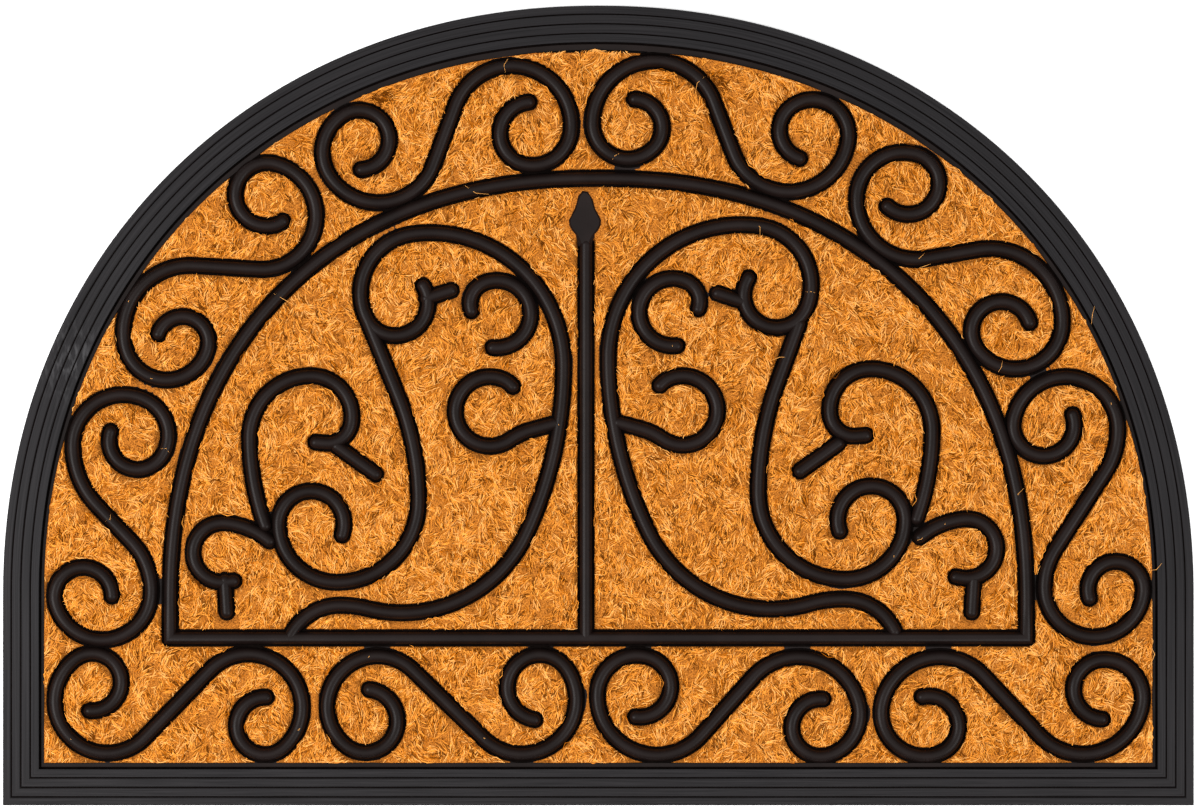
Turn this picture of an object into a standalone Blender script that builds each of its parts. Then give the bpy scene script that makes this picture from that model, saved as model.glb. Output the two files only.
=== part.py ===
"""Half round doormat: a black rubber moulding with scrollwork around a coir panel.

All sizes below are millimetres. The mat lies flat: X is its long side, Y its
depth with the round edge at the far side, and Z is up from the floor.
"""
import math
from collections import namedtuple

import bmesh
import bpy
import numpy as np
from mathutils import Vector
from mathutils.geometry import delaunay_2d_cdt

MM = 0.001

# Outline of the whole mat
WIDTH = 600.0
DEPTH = 403.0
SIDE_LENGTH = 106.0
ARCH_POWER = 2.09
ARCH_SEGMENTS = 44
SHOULDER_Y = -DEPTH / 2 + SIDE_LENGTH

# Ridged border: flat strips with narrow grooves between them, from the edge inwards
STRIP_WIDTHS = (3.8, 4.0, 4.0, 4.0)
GROOVE_WIDTH = 0.9
GROOVE_DEPTH = 0.5
EDGE_HEIGHT = 3.0
BORDER_HEIGHT = 8.5
MOAT_WIDTH = 1.0
MOAT_HEIGHT = 5.8

# Opening inside the rim, which is a little wider at the top than at the sides
OPENING_HALF_WIDTH = 279.0
OPENING_RISE = 274.5
OPENING_DROP = 84.5
CAVITY_INSET = 19.8

# Heights of the layers
BACKING_HEIGHT = 2.0
GRILLE_BOTTOM = 5.3
LAND_HEIGHT = 6.3
BEAD_HEIGHT = 10.0
COIR_BOTTOM = 2.3
COIR_CHANNEL = 5.0
COIR_HEIGHT = 9.0

# Section of a scroll: a raised bead with a flat land on each side. The bead's flat
# top counts as a little wider than its lines, so that the chords of a bend stay flat.
LAND_HALF_WIDTH = 4.4
BEAD_HALF_TOP = 1.7
FLAT_TOLERANCE = 1.08
CAP_SEGMENTS = 3
ARC_STEP = 33.0
ARC_CHORD = 14.0
SHARPEST_MITRE = 0.35

# A flat web joins two runs, or a run and the rim, where their centre lines pass closely.
# Openings smaller than an area in square millimetres are closed.
WEB_REACH = 13.6
WEB_NEAREST = 4.5
WEB_LENGTH = 13.0
WEB_STEP = 4.0
WEB_APART = 22.0
WEB_START = 2.4
RIM_BACK = 1.0
SMALLEST_OPENING = 14.0

# Coir islands stand this far inside their openings, seen from above
ISLAND_CLEARANCE = 0.4

# Points of the plan closer than this become one
CLOSEST_POINTS = 0.08
WELD = 1e-4

# Inner frame: a bottom bar, two posts and a flattened arch
BAR_Y = -117.0
POST_X = 215.5
FRAME_SHOULDER_Y = -100.0
FRAME_RISE = 214.4
FRAME_POWER = 2.25
FRAME_SEGMENTS = 26

# Spear in the middle: a stem and a leaf-shaped plate
SPEAR_X = -6.2
SPEAR_NECK_Y = 86.0
SPEAR_PLATE = (
    (-5.2, 109.2), (-8.2, 109.2), (-15.8, 94.0),
    (-11.0, 83.0), (-2.4, 83.0), (2.4, 94.0),
)
PLATE_HEIGHT = 9.2
PLATE_BEVEL = 1.8

# A run is a chain of circles joined by straight tangents. A positive radius turns
# left, a negative one right. Each end leaves its circle at a heading in degrees and
# curls on through arcs of (radius, turn); a negative radius there bends the other
# way, and a radius of 0 is a straight piece of that length.
Round = namedtuple("Round", "x y radius")
End = namedtuple("End", "heading arcs")
Run = namedtuple("Run", "name start rounds end")

SCROLLS = (
    Run("left lower", End(90, ((24.5, 166), (14.5, 194))),
        (Round(-261, -93.5, 36), Round(-220.5, -20, -44)),
        End(90, ((25.5, 122), (19.5, 93), (14.5, 164)))),
    Run("left upper", End(103, ((21.5, 150), (13, 178))),
        (Round(-205.5, 37, -33.5), Round(-169, 95.5, 27)),
        End(168, ((16, 200), (12, 30)))),
    Run("left top", End(302, ((22, 94), (15, 205))),
        (Round(-110.5, 131.5, 29.5), Round(-43.5, 141, -30)),
        End(-94, ((19.5, 94), (16, 167)))),
    Run("right top", End(90, ((18, 140), (14.5, 128))),
        (Round(28.5, 142, -31.5), Round(96, 137.5, 30)),
        End(83, ((18, 132), (15, 126)))),
    Run("right upper", End(87, ((23.5, 145), (15, 195))),
        (Round(197, 42.5, 36.5), Round(160, 103.5, -30)),
        End(85, ((23.5, 103), (15.5, 205)))),
    Run("right lower", End(90, ((25, 175), (14, 204))),
        (Round(260.5, -91.5, -36), Round(221.5, -12, 40)),
        End(90, ((26.5, 169), (15.5, 211)))),
    Run("bottom first", End(219, ((14.5, 225),)),
        (Round(-247, -148.5, 26.5), Round(-176, -152, -27)),
        End(-138, ((14.5, 224),))),
    Run("bottom second", End(140, ((16, 213),)),
        (Round(-111, -151.5, -25.5), Round(-38.5, -148, 27.5)),
        End(124, ((16.5, 227),))),
    Run("bottom third", End(268, ((20, 107), (15.5, 169))),
        (Round(29.5, -146, 30), Round(101, -157.5, -31)),
        End(-74, ((22, 89), (14.5, 202)))),
    Run("bottom fourth", End(76, ((22, 122), (15, 175))),
        (Round(172, -156.5, -30), Round(244, -145.5, 30)),
        End(83, ((19, 107), (15, 168)))),
)

BRANCHES = (
    Run("left stem", End(90, ((200, 25), (69, 79), (-60, 14), (-28, 65))),
        (Round(-84.5, 20, 67),), End(188, ((30, 104), (16.5, 190)))),
    Run("right stem", End(90, ((200, 26), (69, 80), (-60, 18), (-28, 63))),
        (Round(72, 24, -67),), End(-8, ((30, 104), (16.5, 190)))),
    Run("left loop", End(-90, ((140, 22), (0, 46))),
        (Round(-131.5, -48, -41),), End(180, ((29.5, 90), (16.5, 200)))),
    Run("right loop", End(-90, ((160, 20), (0, 32))),
        (Round(124.5, -43.5, 44),), End(0, ((30, 90), (17, 200)))),
    Run("upper hook", End(25, ((11, 85),)), (Round(-51, 46, -17),), End(173, ())),
    Run("middle hook", End(215, ((-35, 20), (0, 12))), (Round(-54.5, -3, -17.5),), End(-20, ((13, 30),))),
    Run("side hook", End(90, ((130, 20),)), (Round(-144.5, -16, -31),),
        End(0, ((20.5, 100), (12, 85), (0, 5)))),
    Run("corner hook", End(175, ((40, 35),)), (Round(-189, -74, 15),), End(10, ((0, 3),))),
    Run("upper spur", None, (Round(-86.5, 54, 0), Round(-74, 58, 0)), None),
    Run("side spur", None, (Round(-131.5, -20.5, 0), Round(-112, -34.5, 0)), None),
    Run("corner spur", None, (Round(-188, -88, 0), Round(-187, -104, 0)), None),
)

# Right-hand copies of left branches, mirrored and then shifted by (x, y)
MIRRORED = {
    "upper hook": (-13.5, 1.0),
    "middle hook": (-12.0, 0.5),
    "side hook": (-7.5, 3.5),
    "corner hook": (-3.5, 2.0),
    "upper spur": (-14.0, -1.5),
    "side spur": (-10.5, 1.5),
    "corner spur": (1.0, 0.0),
}


def clear_scene():
    for item in list(bpy.data.objects):
        bpy.data.objects.remove(item, do_unlink=True)


def superellipse(half_width, rise, power, segments):
    """The arch from its right foot over the top to its left foot."""
    points = []
    for step in range(segments + 1):
        angle = math.pi * step / segments
        across = math.cos(angle)
        x = math.copysign(abs(across) ** (2 / power), across) * half_width
        y = max(0.0, math.sin(angle)) ** (2 / power) * rise
        points.append((x, y))
    return points


def outline(half_width, rise, drop):
    """A half round loop, anticlockwise from the lower right corner."""
    arch = superellipse(half_width, rise, ARCH_POWER, ARCH_SEGMENTS)
    loop = [(half_width, SHOULDER_Y - drop)]
    loop += [(x, y + SHOULDER_Y) for x, y in arch]
    loop.append((-half_width, SHOULDER_Y - drop))
    return loop


def mat_outline(inset):
    rise = DEPTH - SIDE_LENGTH
    loop = outline(WIDTH / 2 - inset, rise - inset, SIDE_LENGTH - inset)
    return [(round(x, 3), round(y, 3)) for x, y in loop]


def arc(centre, radius, first, turn):
    """Points on a circle, by heading; the centre lies to the left of the travel."""
    steps = max(abs(turn) / ARC_STEP, abs(radius * math.radians(turn)) / ARC_CHORD)
    count = max(1, math.ceil(steps))
    points = []
    for step in range(count + 1):
        heading = math.radians(first + turn * step / count)
        points.append((centre[0] + radius * math.sin(heading), centre[1] - radius * math.cos(heading)))
    return points


def curl(start, heading, side, arcs):
    """Arcs that carry on from a point; side is 1 for a left turn and -1 for a right one."""
    points = []
    x, y = start
    for radius, amount in arcs:
        ahead = math.radians(heading)
        if radius == 0:
            x += amount * math.cos(ahead)
            y += amount * math.sin(ahead)
            points.append((x, y))
            continue
        bend = math.copysign(side, side * radius)
        signed = bend * abs(radius)
        centre = (x - signed * math.sin(ahead), y + signed * math.cos(ahead))
        points += arc(centre, signed, heading, bend * amount)[1:]
        x, y = points[-1]
        heading += bend * amount
    return points


def centreline(run):
    """The middle of a run as a list of points from its start to its end."""
    headings = []
    for one, two in zip(run.rounds, run.rounds[1:]):
        across = two.x - one.x
        along = two.y - one.y
        lean = math.asin((two.radius - one.radius) / math.hypot(across, along))
        headings.append(math.degrees(math.atan2(along, across) - lean))
    first = run.start.heading if run.start else headings[0]
    last = run.end.heading if run.end else headings[-1]
    headings = [first] + headings + [last]
    points = []
    for index, item in enumerate(run.rounds):
        if item.radius == 0:
            points.append((item.x, item.y))
            continue
        side = math.copysign(1, item.radius)
        turn = (headings[index + 1] - headings[index]) * side % 360
        points += arc((item.x, item.y), item.radius, headings[index], side * turn)
    if run.end:
        side = math.copysign(1, run.rounds[-1].radius)
        points += curl(points[-1], last, side, run.end.arcs)
    if run.start:
        side = math.copysign(1, run.rounds[0].radius)
        points = curl(points[0], first + 180, -side, run.start.arcs)[::-1] + points
    return points


def frame_line():
    """The closed line of the inner frame."""
    arch = superellipse(POST_X, FRAME_RISE, FRAME_POWER, FRAME_SEGMENTS)
    line = [(POST_X, BAR_Y)]
    line += [(x, y + FRAME_SHOULDER_Y) for x, y in arch]
    line.append((-POST_X, BAR_Y))
    return line


def offset(points, distance, closed):
    """Points moved to the left of the line by a distance, with mitred corners."""
    line = np.array(points)
    count = len(line)
    moved = []
    for index in range(count):
        before = line[index] - line[index - 1]
        after = line[(index + 1) % count] - line[index]
        if not closed and index == 0:
            before = after
        if not closed and index == count - 1:
            after = before
        before = before / np.linalg.norm(before)
        after = after / np.linalg.norm(after)
        normal = np.array((-before[1] - after[1], before[0] + after[0]))
        normal = normal / np.linalg.norm(normal)
        reach = distance / max(SHARPEST_MITRE, normal @ np.array((-before[1], before[0])))
        moved.append(tuple(line[index] + normal * reach))
    return moved


def cap(point, neighbour, radius):
    """Half a circle around the end of a line, from its right side to its left."""
    heading = math.atan2(point[1] - neighbour[1], point[0] - neighbour[0])
    points = []
    for step in range(1, CAP_SEGMENTS):
        angle = heading - math.pi / 2 + math.pi * step / CAP_SEGMENTS
        points.append((point[0] + radius * math.cos(angle), point[1] + radius * math.sin(angle)))
    return points


def ribbon(points, half_width):
    """The closed outline of a line with a width and round ends."""
    right = offset(points, -half_width, False)
    left = offset(points, half_width, False)
    ahead = cap(points[-1], points[-2], half_width)
    behind = cap(points[0], points[1], half_width)
    return right + ahead + left[::-1] + behind


def nearest(point, line, closed):
    """The nearest point on a line, and its distance."""
    starts = np.array(line)
    ends = np.roll(starts, -1, axis=0)
    if not closed:
        starts = starts[:-1]
        ends = ends[:-1]
    along = ends - starts
    lengths = np.maximum((along ** 2).sum(axis=1), WELD)
    share = np.clip(((np.array(point) - starts) * along).sum(axis=1) / lengths, 0, 1)
    feet = starts + along * share[:, None]
    gaps = np.hypot(*(feet - np.array(point)).T)
    best = int(np.argmin(gaps))
    return feet[best], float(gaps[best])


def densify(line, spacing):
    """The same line with extra points no further apart than a spacing."""
    points = [line[0]]
    for start, end in zip(line, line[1:]):
        count = max(1, math.ceil(math.dist(start, end) / spacing))
        for step in range(1, count + 1):
            share = step / count
            points.append(tuple(np.array(start) + (np.array(end) - np.array(start)) * share))
    return points


def webs(line, other, closed, stop):
    """Flat patches where a line passes close by another, one at each nearest place.

    A patch stops short of the other line by a distance.
    """
    dense = densify(line, WEB_STEP)
    found = [nearest(point, other, closed) for point in dense]
    gaps = [gap for foot, gap in found]
    placed = []
    patches = []
    for index in sorted(range(len(dense)), key=gaps.__getitem__):
        around = gaps[max(0, index - 1):index + 2]
        if gaps[index] > min(around) or not WEB_NEAREST < gaps[index] < WEB_REACH:
            continue
        point = np.array(dense[index])
        if any(math.dist(point, other_place) < WEB_APART for other_place in placed):
            continue
        placed.append(point)
        foot = found[index][0]
        ahead = (foot - point) / gaps[index]
        side = np.array((-ahead[1], ahead[0])) * WEB_LENGTH / 2
        near = point + ahead * WEB_START
        far = foot - ahead * stop
        corners = (near - side, near + side, far + side, far - side)
        patches.append([tuple(corner) for corner in corners])
    return patches


class Shell:
    """Collects the faces of one closed solid; equal corners are shared."""

    def __init__(self):
        self.corners = {}
        self.places = []
        self.faces = []

    def corner(self, point, height):
        key = (round(point[0], 3), round(point[1], 3), round(height, 3))
        if key not in self.corners:
            self.corners[key] = len(self.places)
            self.places.append((point[0] * MM, point[1] * MM, height * MM))
        return self.corners[key]

    def face(self, points, heights):
        ids = [self.corner(point, height) for point, height in zip(points, heights)]
        if len(set(ids)) == len(ids):
            self.faces.append(ids)

    def flat(self, points, triangle, height):
        self.face([points[corner] for corner in triangle], [height] * 3)

    def band(self, lower, lower_height, upper, upper_height):
        """A strip of faces between two loops with the same number of points."""
        count = len(lower)
        for index in range(count):
            after = (index + 1) % count
            ring = (lower[index], lower[after], upper[after], upper[index])
            self.face(ring, (lower_height, lower_height, upper_height, upper_height))

    def build(self, name, material):
        mesh = bpy.data.meshes.new(name)
        mesh.from_pydata(self.places, [], self.faces)
        work = bmesh.new()
        work.from_mesh(mesh)
        bmesh.ops.recalc_face_normals(work, faces=work.faces)
        bmesh.ops.triangulate(work, faces=work.faces)
        work.to_mesh(mesh)
        work.free()
        mesh.materials.append(material)
        item = bpy.data.objects.new(name, mesh)
        bpy.context.collection.objects.link(item)
        return item


def signed_area(loop):
    """The area inside a loop, negative where it runs clockwise."""
    x, y = np.array(loop).T
    return float(x @ np.roll(y, -1) - y @ np.roll(x, -1)) / 2


def within(places, loop):
    """Which of the places lie inside a loop, by its winding around them."""
    starts = np.array(loop)
    ends = np.roll(starts, -1, axis=0)
    turns = np.zeros(len(places))
    for (x, y), (next_x, next_y) in zip(starts, ends):
        side = (next_x - x) * (places[:, 1] - y) - (next_y - y) * (places[:, 0] - x)
        upward = (y <= places[:, 1]) & (places[:, 1] < next_y) & (side > 0)
        downward = (next_y <= places[:, 1]) & (places[:, 1] < y) & (side < 0)
        turns += upward.astype(int) - downward.astype(int)
    return turns != 0


def merged(result):
    """Points and edges of a triangulation's lines, with points that nearly touch as one."""
    places = np.array([tuple(point) for point in result[0]])
    kept = []
    ids = []
    for place in places:
        close = []
        if kept:
            close = np.flatnonzero(np.hypot(*(places[kept] - place).T) < CLOSEST_POINTS)
        if len(close) == 0:
            kept.append(len(ids))
            ids.append(len(kept) - 1)
        else:
            ids.append(int(close[0]))
    edges = {(ids[start], ids[end]) for (start, end), owners in zip(result[1], result[4]) if owners}
    return [result[0][index] for index in kept], sorted(edge for edge in edges if edge[0] != edge[1])


def triangulate(loops, lines):
    """Triangles between all loops and lines, each with the numbers of the loops around it."""
    points = []
    edges = []
    for line in loops + lines:
        ids = list(range(len(points), len(points) + len(line)))
        points += line
        edges += list(zip(ids, ids[1:] + ids[:1]))
    flat = [Vector(point) for point in points]
    flat, edges = merged(delaunay_2d_cdt(flat, edges, [], 0, WELD))
    result = delaunay_2d_cdt(flat, edges, [], 0, WELD)
    places = [(point.x, point.y) for point in result[0]]
    triangles = [tuple(face) for face in result[2]]
    centres = np.array([np.mean([places[corner] for corner in face], axis=0) for face in triangles])
    inside = [set() for face in triangles]
    for number, loop in enumerate(loops):
        for index in np.flatnonzero(within(centres, loop)):
            inside[index].add(number)
    return places, triangles, inside


def edge_owners(triangles, chosen):
    """For each edge of the chosen triangles, how many of them share it."""
    owners = {}
    for index in chosen:
        triangle = triangles[index]
        for start, end in zip(triangle, triangle[1:] + triangle[:1]):
            owners.setdefault(frozenset((start, end)), []).append(index)
    return owners


def pieces(triangles, chosen):
    """The chosen triangles in groups that hang together by their edges."""
    owners = edge_owners(triangles, chosen)
    waiting = set(chosen)
    groups = []
    neighbours = {index: set() for index in chosen}
    for group in owners.values():
        for index in group:
            neighbours[index].update(group)
    while waiting:
        stack = [waiting.pop()]
        group = []
        while stack:
            index = stack.pop()
            group.append(index)
            fresh = neighbours[index] & waiting
            waiting -= fresh
            stack += fresh
        groups.append(group)
    return groups


def boundary_loops(triangles, chosen):
    """The closed loops of point numbers around the chosen triangles."""
    follow = {}
    owners = edge_owners(triangles, chosen)
    for index in chosen:
        triangle = triangles[index]
        for start, end in zip(triangle, triangle[1:] + triangle[:1]):
            if len(owners[frozenset((start, end))]) == 1:
                follow[start] = end
    loops = []
    while follow:
        start, current = follow.popitem()
        loop = [start]
        while current != start:
            loop.append(current)
            current = follow.pop(current)
        loops.append(loop)
    return loops


def grille_runs():
    """The centre lines of all open runs, with the right-hand copies."""
    lines = [centreline(run) for run in SCROLLS + BRANCHES]
    for run in BRANCHES:
        if run.name in MIRRORED:
            shift_x, shift_y = MIRRORED[run.name]
            lines.append([(shift_x - x, shift_y + y) for x, y in centreline(run)])
    lines.append([(SPEAR_X, BAR_Y), (SPEAR_X, SPEAR_NECK_Y)])
    return lines


def grille_heights(points, runs):
    """The height of the grille's top at each plan point."""
    places = np.array(points)
    heights = np.full(len(places), LAND_HEIGHT)
    lines = [(run, False) for run in runs] + [(frame_line(), True)]
    slope = (BEAD_HEIGHT - LAND_HEIGHT) / (LAND_HALF_WIDTH - BEAD_HALF_TOP * FLAT_TOLERANCE)
    for line, closed in lines:
        starts = np.array(line)
        ends = np.roll(starts, -1, axis=0)
        if not closed:
            starts = starts[:-1]
            ends = ends[:-1]
        for start, end in zip(starts, ends):
            along = end - start
            share = np.clip((places - start) @ along / (along @ along), 0, 1)
            gap = np.hypot(*(places - start - share[:, None] * along).T)
            height = LAND_HEIGHT + (LAND_HALF_WIDTH - gap) * slope
            heights = np.maximum(heights, np.minimum(height, BEAD_HEIGHT))
    depth = np.full(len(places), np.inf)
    plate = np.array(SPEAR_PLATE)
    for start, end in zip(plate, np.roll(plate, -1, axis=0)):
        along = (end - start) / np.linalg.norm(end - start)
        inward = np.array((-along[1], along[0]))
        depth = np.minimum(depth, (places - start) @ inward)
    rise = (PLATE_HEIGHT - LAND_HEIGHT) / PLATE_BEVEL
    plate_height = np.minimum(LAND_HEIGHT + depth * rise, PLATE_HEIGHT)
    return np.maximum(heights, plate_height)


def web_patches(runs):
    """All the flat patches of the grille."""
    frame = frame_line()
    rim = outline(OPENING_HALF_WIDTH + RIM_BACK, OPENING_RISE + RIM_BACK, OPENING_DROP + RIM_BACK)
    patches = []
    for index, run in enumerate(runs):
        patches += webs(run, rim, True, 0.0)
        patches += webs(run, frame, True, WEB_START)
        for other in runs[index + 1:]:
            patches += webs(run, other, False, WEB_START)
    patches.append(list(SPEAR_PLATE))
    return [patch if signed_area(patch) > 0 else patch[::-1] for patch in patches]


def grille_plan(edge, spread, lines):
    """Plan points and triangles inside an edge, and the set that is land or rim.

    A spread widens every land, which leaves smaller openings.
    """
    runs = grille_runs()
    frame = frame_line()
    half = LAND_HALF_WIDTH + spread
    opening = outline(OPENING_HALF_WIDTH - spread, OPENING_RISE - spread, OPENING_DROP - spread)
    loops = [edge, opening, offset(frame, -half, True), offset(frame, half, True)]
    fixed = len(loops)
    loops += [ribbon(run, half) for run in runs]
    loops += [offset(patch, -spread, True) for patch in web_patches(runs)]
    points, triangles, inside = triangulate(loops, lines)

    solid = set()
    for index, owners in enumerate(inside):
        if 0 not in owners:
            continue
        on_frame = 2 in owners and 3 not in owners
        on_land = any(owner >= fixed for owner in owners)
        if 1 not in owners or on_frame or on_land:
            solid.add(index)
    gaps = [index for index, owners in enumerate(inside) if 0 in owners and index not in solid]
    for group in pieces(triangles, gaps):
        corners = [[points[corner] for corner in triangles[index]] for index in group]
        if sum(signed_area(triangle) for triangle in corners) < SMALLEST_OPENING:
            solid.update(group)
    return points, triangles, solid


def opening_loops(triangles, solid, points):
    """The openings as lists of point numbers, without the outer loop of the rim."""
    loops = boundary_loops(triangles, solid)
    widths = [max(points[index][0] for index in loop) for loop in loops]
    loops.pop(widths.index(max(widths)))
    return loops


def border_rings():
    """Inset and height of each ring over the ridged border, from the edge inwards."""
    breadth = sum(STRIP_WIDTHS) + GROOVE_WIDTH * (len(STRIP_WIDTHS) - 1)
    slope = (BORDER_HEIGHT - EDGE_HEIGHT) / breadth
    rings = [(0.0, 0.0)]
    inset = 0.0
    for width in STRIP_WIDTHS:
        after = width + GROOVE_WIDTH
        for step, drop in ((0.0, 0.0), (width, 0.0), (width, GROOVE_DEPTH), (after, GROOVE_DEPTH)):
            rings.append((inset + step, EDGE_HEIGHT + slope * (inset + step) - drop))
        inset += after
    rings = rings[:-2]
    rings.append((breadth, MOAT_HEIGHT))
    rings.append((breadth + MOAT_WIDTH, MOAT_HEIGHT))
    rings.append((breadth + MOAT_WIDTH, LAND_HEIGHT))
    return rings


def plain_material(name, colour, roughness):
    material = bpy.data.materials.new(name)
    material.use_nodes = True
    shader = material.node_tree.nodes["Principled BSDF"]
    shader.inputs["Base Color"].default_value = (*colour, 1)
    shader.inputs["Roughness"].default_value = roughness
    return material


def rubber_moulding():
    shell = Shell()
    rings = border_rings()
    loops = [mat_outline(inset) for inset, height in rings]
    shell.face(loops[0], [0.0] * len(loops[0]))
    for index in range(len(rings) - 1):
        shell.band(loops[index], rings[index][1], loops[index + 1], rings[index + 1][1])
    runs = grille_runs()
    frame = frame_line()
    lines = [ribbon(run, BEAD_HALF_TOP) for run in runs]
    lines += [offset(frame, -BEAD_HALF_TOP, True), offset(frame, BEAD_HALF_TOP, True)]
    lines.append(offset(SPEAR_PLATE, PLATE_BEVEL, True))
    points, triangles, solid = grille_plan(loops[-1], 0.0, lines)
    openings = opening_loops(triangles, solid, points)
    heights = grille_heights(points, runs)
    for opening in openings:
        heights[opening] = LAND_HEIGHT
    for index in solid:
        triangle = triangles[index]
        shell.face([points[corner] for corner in triangle], [heights[corner] for corner in triangle])
    cavity = mat_outline(CAVITY_INSET)
    holes = [[points[corner] for corner in opening] for opening in openings]
    for hole in holes:
        shell.band(hole, GRILLE_BOTTOM, hole, LAND_HEIGHT)
    under_points, under_triangles, inside = triangulate([cavity] + holes, [])
    for triangle, owners in zip(under_triangles, inside):
        if owners == {0}:
            shell.flat(under_points, triangle, GRILLE_BOTTOM)
    shell.band(cavity, BACKING_HEIGHT, cavity, GRILLE_BOTTOM)
    shell.face(cavity, [BACKING_HEIGHT] * len(cavity))
    return shell.build("rubber_moulding", plain_material("black rubber", (0.02, 0.018, 0.018), 0.5))


def coir_panel():
    shell = Shell()
    edge = mat_outline(CAVITY_INSET + ISLAND_CLEARANCE)
    points, triangles, channel = grille_plan(edge, ISLAND_CLEARANCE, [])
    islands = opening_loops(triangles, channel, points)
    loops = [[points[corner] for corner in island] for island in islands]
    shell.face(edge, [COIR_BOTTOM] * len(edge))
    shell.band(edge, COIR_BOTTOM, edge, COIR_CHANNEL)
    places, triangles, inside = triangulate([edge] + loops, [])
    for triangle, owners in zip(triangles, inside):
        if owners:
            shell.flat(places, triangle, COIR_HEIGHT if len(owners) > 1 else COIR_CHANNEL)
    for loop in loops:
        shell.band(loop, COIR_CHANNEL, loop, COIR_HEIGHT)
    return shell.build("coir_panel", plain_material("golden coir", (0.6, 0.25, 0.045), 0.95))


clear_scene()
rubber_moulding()
coir_panel()
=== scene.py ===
"""Looks of the half round doormat: moulded rubber scrollwork standing in golden coir.

Sizes are millimetres until the meshes are made; X is the long side, Y the depth
with the round edge at the far side, and Z is up.
"""
import math
from collections import namedtuple

import bpy
import numpy as np
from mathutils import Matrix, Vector, noise
from mathutils.kdtree import KDTree


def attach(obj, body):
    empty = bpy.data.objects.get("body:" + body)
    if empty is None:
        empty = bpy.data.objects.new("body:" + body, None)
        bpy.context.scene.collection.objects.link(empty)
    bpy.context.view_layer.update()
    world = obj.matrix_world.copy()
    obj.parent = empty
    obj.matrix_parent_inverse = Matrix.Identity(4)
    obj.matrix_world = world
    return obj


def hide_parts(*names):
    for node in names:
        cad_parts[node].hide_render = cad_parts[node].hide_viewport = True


MM = 0.001
SEED = 7

# Outline of the mat and of the opening inside its rim
WIDTH = 600.0
DEPTH = 403.0
SIDE_LENGTH = 106.0
ARCH_POWER = 2.09
ARCH_SEGMENTS = 280
SHOULDER_Y = -DEPTH / 2 + SIDE_LENGTH
OPENING_HALF_WIDTH = 279.0
OPENING_RISE = 274.5
OPENING_DROP = 84.5
ARCH_FILL = 0.8

# Ridged border
STRIP_WIDTHS = (3.8, 4.0, 4.0, 4.0)
GROOVE_WIDTH = 0.9
GROOVE_DEPTH = 0.5
GROOVE_TAPER = 0.24
EDGE_ROUND = 0.18
EDGE_HEIGHT = 3.0
BORDER_HEIGHT = 8.5
MOAT_WIDTH = 1.0
MOAT_HEIGHT = 5.8

# Heights of the layers
BACKING_HEIGHT = 2.0
LAND_HEIGHT = 6.3
BEAD_FOOT = 6.1
BEAD_HEIGHT = 10.0
COIR_FLOOR = 5.2
COIR_HEIGHT = 8.5

# Section of a run: a half round bead with a flat land on each side
LAND_HALF_WIDTH = 4.4
BEAD_HALF_WIDTH = 3.15
BEAD_STEPS = 8
SECTION_FOOT = BACKING_HEIGHT + 1.0
SECTION_SOFTENING = 0.2
# The first LAND_ROWS strips on each side of a run, the land and its sides, get the near-black painted
# shade
LAND_ROWS = 4
LAND_STAGGER = 0.012
WEB_HEIGHT = LAND_HEIGHT - 0.5
WEB_STAGGER = 0.004
CAP_STEPS = 10
ARC_CHORD = 2.0
SHARPEST_MITRE = 0.35

# Flat webs between runs that pass closely
WEB_REACH = 13.6
WEB_NEAREST = 4.5
WEB_LENGTH = 13.0
WEB_STEP = 4.0
WEB_APART = 22.0
WEB_START = 2.4
RIM_BACK = 1.0

# Inner frame and spear
BAR_Y = -117.0
POST_X = 215.5
FRAME_SHOULDER_Y = -100.0
FRAME_RISE = 214.4
FRAME_POWER = 2.25
FRAME_SEGMENTS = 170
SPEAR_X = -6.2
SPEAR_NECK_Y = 81.0
PLATE_X = -6.7
PLATE_HEIGHT = 9.4
PLATE_BEVEL = 1.5
PLATE_LAND = 1.0
PLATE_FIBRE_GAP = 1.7

# Half the width of the spear's head at rising heights in the plan
Level = namedtuple("Level", "y half")
SPEAR_HEAD = (
    Level(80.0, 3.2), Level(83.0, 3.8), Level(85.5, 5.2), Level(88.0, 7.2), Level(90.5, 8.5),
    Level(93.5, 8.8), Level(96.0, 7.6), Level(99.0, 5.9), Level(102.5, 4.9), Level(105.8, 3.8),
    Level(108.4, 1.6),
)

# Coir bed, and the tufts of fibres on it
BED_STEP = 1.5
BED_START = 4.5
BED_SHOULDER = 1.6
TUFT_COUNT = 25500
TUFT_FIBRES = 12
TUFT_SPREAD = (1.7, 0.9)
TUFT_HEADING = math.pi / 2
TUFT_FAN = 0.24
TUFT_BEND = 0.13
TUFT_LIFT = 0.55
FIBRE_LENGTHS = (3.0, 7.6)
FIBRE_WIDTHS = (0.24, 0.54)
FIBRE_LIFT = (0.1, 0.7)
SHORT_FIBRE = 0.45
EDGE_KEEP = 4.95
EDGE_RAGGED = 0.45
RIM_KEEP = 0.25
PALE_RIM = 2.2
# Dark ribbons on top of the pile that paint the shade of the gaps between tufts
GAP_SHADE_COUNT = 8000

# Tones of the fibres, darkest first: name, colour, share
Tone = namedtuple("Tone", "name colour share")
TONES = (
    Tone("shade", (0.12, 0.030, 0.001), 0.07),
    Tone("brown", (0.40, 0.105, 0.003), 0.20),
    Tone("orange", (0.64, 0.215, 0.024), 0.30),
    Tone("golden", (0.80, 0.295, 0.04), 0.28),
    Tone("straw", (0.88, 0.385, 0.095), 0.15),
)

# Dark stains in the coir
Stain = namedtuple("Stain", "x y radius")
STAINS = (Stain(-109.8, 155.7, 5.0), Stain(58.7, 162.2, 5.5))

# A pale scuff across the ridges on the left
SCUFF_PLACE = (-265.0, 22.0, 6.0)
SCUFF_REACH = 26.0
SCUFF_COLOUR = (0.06, 0.058, 0.06, 1)

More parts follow.
